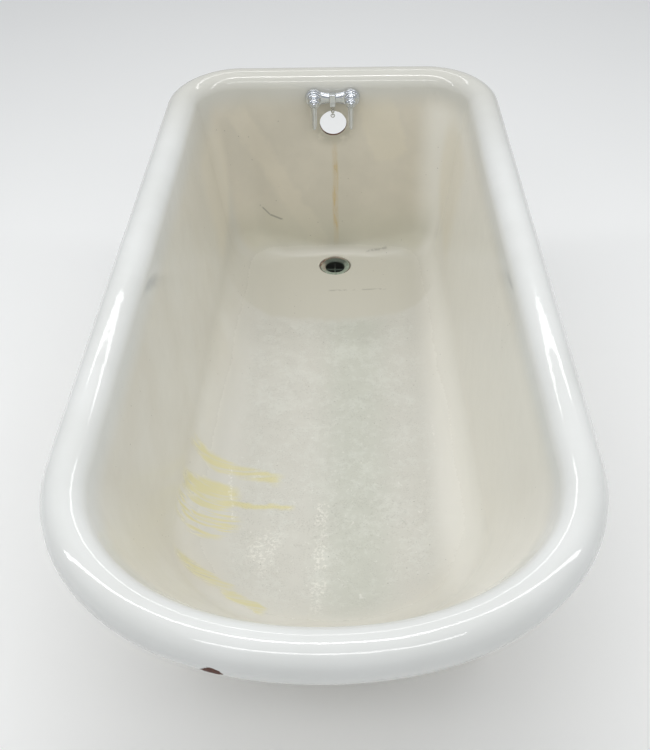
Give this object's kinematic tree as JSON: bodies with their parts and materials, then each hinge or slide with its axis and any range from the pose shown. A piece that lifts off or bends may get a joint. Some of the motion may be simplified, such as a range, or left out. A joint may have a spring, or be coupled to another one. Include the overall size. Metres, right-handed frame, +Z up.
{
  "type": "freestanding roll-rim bathtub",
  "caption": "Freestanding cast-iron bathtub with a rolled rim, a sloping rounded head end, claw feet, a centre bath cock with lever handles, an overflow hole and a floor waste.",
  "frame": {"origin": "on the floor, under the middle of the rim's bounding box", "axes": "+X to the right when facing the tap end, +Y towards the tap end, +Z up"},
  "size_m": [0.762, 1.524, 0.6],
  "materials": {
    "enamelled_iron": "aged glossy white porcelain enamel on cast iron, painted outside",
    "painted_iron": "aged white paint on cast iron",
    "chrome": "polished chrome, slightly worn",
    "nickel": "dull nickel plate on brass",
    "brass": "tarnished brass",
    "corroded_brass": "brass with verdigris and lime",
    "steel": "dull steel with light rust",
    "rubber": "matt black"
  },
  "bodies": {
    "tub": {"tub_shell": "enamelled_iron", "foot_drain_left": "painted_iron", "foot_drain_right": "painted_iron", "foot_head_left": "painted_iron", "foot_head_right": "painted_iron", "foot_stud_drain_left": "steel", "foot_stud_drain_right": "steel", "foot_stud_head_left": "steel", "foot_stud_head_right": "steel", "foot_washer_drain_left": "steel", "foot_washer_drain_right": "steel", "foot_washer_head_left": "steel", "foot_washer_head_right": "steel", "foot_nut_drain_left": "steel", "foot_nut_drain_right": "steel", "foot_nut_head_left": "steel", "foot_nut_head_right": "steel", "drain_flange": "corroded_brass", "drain_gasket": "rubber", "drain_washer": "rubber", "drain_locknut": "brass", "tap_body": "chrome", "chain_stay": "nickel", "hot_bonnet": "chrome", "hot_packing_nut": "chrome", "cold_bonnet": "chrome", "cold_packing_nut": "chrome", "hot_wall_gasket": "rubber", "cold_wall_gasket": "rubber", "hot_back_washer": "rubber", "cold_back_washer": "rubber", "hot_locknut": "brass", "cold_locknut": "brass", "hot_coupling_nut": "brass", "cold_coupling_nut": "brass", "hot_tailpiece": "brass", "cold_tailpiece": "brass"},
    "hot_handle": {"hot_lever": "chrome", "hot_stem": "brass", "hot_valve_washer": "rubber", "hot_lever_screw": "chrome"},
    "cold_handle": {"cold_lever": "chrome", "cold_stem": "brass", "cold_valve_washer": "rubber", "cold_lever_screw": "chrome"},
    "bead": {"chain_bead": "nickel"},
    "end_ring": {"chain_ring": "nickel"}
  },
  "joints": [
    {"name": "hot_handle_turn", "type": "hinge", "parent": "tub", "child": "hot_handle", "pos_m": [-0.0395, 0.65901, 0.55454], "axis": [0, 0.9999, -0.0144], "range_deg": [0, 90]},
    {"name": "cold_handle_turn", "type": "hinge", "parent": "tub", "child": "cold_handle", "pos_m": [0.0395, 0.65901, 0.55454], "axis": [0, -0.9999, 0.0144], "range_deg": [0, 90]},
    {"name": "bead_swing", "type": "hinge", "parent": "tub", "child": "bead", "pos_m": [0, 0.67752, 0.53453], "axis": [1, 0, 0], "range_deg": [-35, 35]},
    {"name": "ring_swing", "type": "hinge", "parent": "bead", "child": "end_ring", "pos_m": [0, 0.67732, 0.52063], "axis": [1, 0, 0], "range_deg": [-35, 35]}
  ]
}
